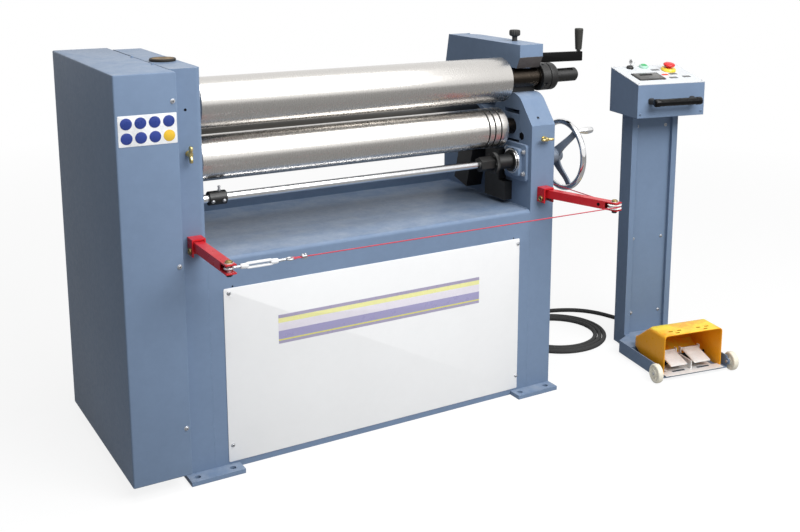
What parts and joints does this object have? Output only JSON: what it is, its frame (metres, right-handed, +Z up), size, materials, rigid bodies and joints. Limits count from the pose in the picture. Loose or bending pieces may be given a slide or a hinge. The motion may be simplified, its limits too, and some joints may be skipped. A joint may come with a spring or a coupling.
{
  "type": "plate rolling machine",
  "caption": "Three-roll plate bending machine with hinged locking arm, handwheel, front trip rope and a wheeled foot-pedal console on a floor cable.",
  "frame": {"origin": "on the floor, in the middle of the machine's anchor bolts", "axes": "+Z up; +X along the rolls, from the drive side to the open side; -Y towards the operator"},
  "size_m": [2.0954, 0.8733, 1.19],
  "materials": {
    "machine_paint": "satin blue-grey machine enamel",
    "white_paint": "satin",
    "polished_steel": "ground and polished",
    "dark_steel": "oiled",
    "bright_metal": "machined",
    "chrome": "polished",
    "black_plastic": "moulded",
    "black_metal": "black lacquer",
    "brass": "worn",
    "red_paint": "gloss",
    "zinc": "zinc plated",
    "red_rope": "red sheath on steel rope",
    "white_plastic": "moulded",
    "yellow_plastic": "moulded",
    "red_plastic": "moulded",
    "green_plastic": "moulded",
    "yellow_paint": "gloss",
    "cream_plastic": "moulded",
    "cable_sheath": "matt sheath"
  },
  "bodies": {
    "machine": {"base_cabinet": "machine_paint", "foot_plates": "machine_paint", "front_panel": "white_paint", "rear_panel": "machine_paint", "drive_frame": "machine_paint", "open_frame": "machine_paint", "gear_cover": "machine_paint", "frame_cap": "dark_steel", "lift_guides": "dark_steel", "roll_saddle": "dark_steel", "shaft_bearings": "machine_paint", "wing_screws": "brass", "trip_arms": "red_paint", "arm_bolts": "brass", "turnbuckle": "zinc", "trip_rope": "red_rope", "trip_switch": "machine_paint", "console_tray": "machine_paint", "console_column": "machine_paint", "console_head": "machine_paint", "head_panel": "white_paint", "bar_handle": "black_metal", "stop_base": "yellow_plastic", "pedal_guard": "yellow_paint", "pedal_plate": "zinc", "cable_glands": "black_plastic", "machine_cable": "cable_sheath", "console_cable": "cable_sheath", "cable_coil": "cable_sheath"},
    "top_roll": {"top_roll": "polished_steel"},
    "lower_slide": {"lower_blocks": "dark_steel"},
    "lower_roll": {"lower_roll": "polished_steel"},
    "rear_slide": {"rear_blocks": "dark_steel"},
    "rear_roll": {"rear_roll": "polished_steel"},
    "handwheel": {"handwheel": "bright_metal", "adjusting_shaft": "dark_steel"},
    "wheel_handle": {"wheel_handle": "chrome"},
    "locking_arm": {"locking_arm": "machine_paint", "arm_knob": "black_plastic"},
    "crank": {"crank": "black_metal"},
    "crank_grip": {"crank_grip": "black_plastic"},
    "rope_pulley": {"rope_pulley": "white_plastic"},
    "left_wheel": {"left_wheel": "cream_plastic"},
    "right_wheel": {"right_wheel": "cream_plastic"},
    "left_pedal": {"left_pedal": "bright_metal"},
    "right_pedal": {"right_pedal": "bright_metal"},
    "stop_button": {"stop_button": "red_plastic"},
    "start_button": {"start_button": "green_plastic"},
    "key_switch": {"key_switch": "zinc"}
  },
  "joints": [
    {"name": "top_roll_spin", "type": "hinge", "parent": "machine", "child": "top_roll", "pos_m": [0, -0.152, 1.036], "axis": [1, 0, 0], "continuous": true},
    {"name": "lower_roll_lift", "type": "slide", "parent": "machine", "child": "lower_slide", "axis": [0, 0, 1], "range_m": [-0.012, 0.014]},
    {"name": "lower_roll_spin", "type": "hinge", "parent": "lower_slide", "child": "lower_roll", "pos_m": [0, -0.152, 0.8815], "axis": [1, 0, 0], "continuous": true},
    {"name": "rear_roll_lift", "type": "slide", "parent": "machine", "child": "rear_slide", "axis": [0, -0.2588, 0.9659], "range_m": [0, 0.057]},
    {"name": "rear_roll_spin", "type": "hinge", "parent": "rear_slide", "child": "rear_roll", "pos_m": [0, 0.005, 0.874], "axis": [1, 0, 0], "continuous": true},
    {"name": "handwheel_spin", "type": "hinge", "parent": "machine", "child": "handwheel", "pos_m": [0.723, -0.19, 0.774], "axis": [1, 0, 0], "continuous": true},
    {"name": "wheel_handle_spin", "type": "hinge", "parent": "handwheel", "child": "wheel_handle", "pos_m": [0.723, -0.25865, 0.86186], "axis": [1, 0, 0], "continuous": true},
    {"name": "locking_arm_hinge", "type": "hinge", "parent": "machine", "child": "locking_arm", "pos_m": [0.5855, 0.215, 0.985], "axis": [-1, 0, 0], "range_deg": [0, 90]},
    {"name": "crank_turn", "type": "hinge", "parent": "locking_arm", "child": "crank", "pos_m": [0.66, -0.076, 1.072], "axis": [0, 0, 1], "range_deg": [-18, 95]},
    {"name": "crank_grip_spin", "type": "hinge", "parent": "crank", "child": "crank_grip", "pos_m": [0.84815, -0.10244, 1.105], "axis": [0, 0, 1], "continuous": true},
    {"name": "rope_pulley_spin", "type": "hinge", "parent": "machine", "child": "rope_pulley", "pos_m": [0.66819, -0.52727, 0.676], "axis": [0, 0, 1], "continuous": true},
    {"name": "left_wheel_spin", "type": "hinge", "parent": "machine", "child": "left_wheel", "pos_m": [0.95762, -0.44199, 0.033], "axis": [0.986, -0.1668, 0], "continuous": true},
    {"name": "right_wheel_spin", "type": "hinge", "parent": "machine", "child": "right_wheel", "pos_m": [1.26131, -0.49335, 0.033], "axis": [0.986, -0.1668, 0], "continuous": true},
    {"name": "left_pedal_press", "type": "hinge", "parent": "machine", "child": "left_pedal", "pos_m": [1.07949, -0.35712, 0.06], "axis": [0.986, -0.1668, 0], "range_deg": [0, 7], "stiffness_Nm_per_rad": 12, "springref_deg": -6.88},
    {"name": "right_pedal_press", "type": "hinge", "parent": "machine", "child": "right_pedal", "pos_m": [1.17414, -0.37313, 0.06], "axis": [0.986, -0.1668, 0], "range_deg": [0, 7], "stiffness_Nm_per_rad": 12, "springref_deg": -6.88},
    {"name": "stop_button_press", "type": "slide", "parent": "machine", "child": "stop_button", "axis": [0.0354, 0.2095, -0.9772], "range_m": [0, 0.004], "stiffness_N_per_m": 800, "springref_m": -0.005},
    {"name": "start_button_press", "type": "slide", "parent": "machine", "child": "start_button", "axis": [0.0354, 0.2095, -0.9772], "range_m": [0, 0.003], "stiffness_N_per_m": 400, "springref_m": -0.005},
    {"name": "key_turn", "type": "hinge", "parent": "machine", "child": "key_switch", "pos_m": [1.10296, -0.08042, 1.02864], "axis": [-0.0354, -0.2095, 0.9772], "range_deg": [0, 60]}
  ],
  "couplings": [
    {"joint": "lower_roll_spin", "follows": "top_roll_spin", "ratio": -1.1008}
  ]
}
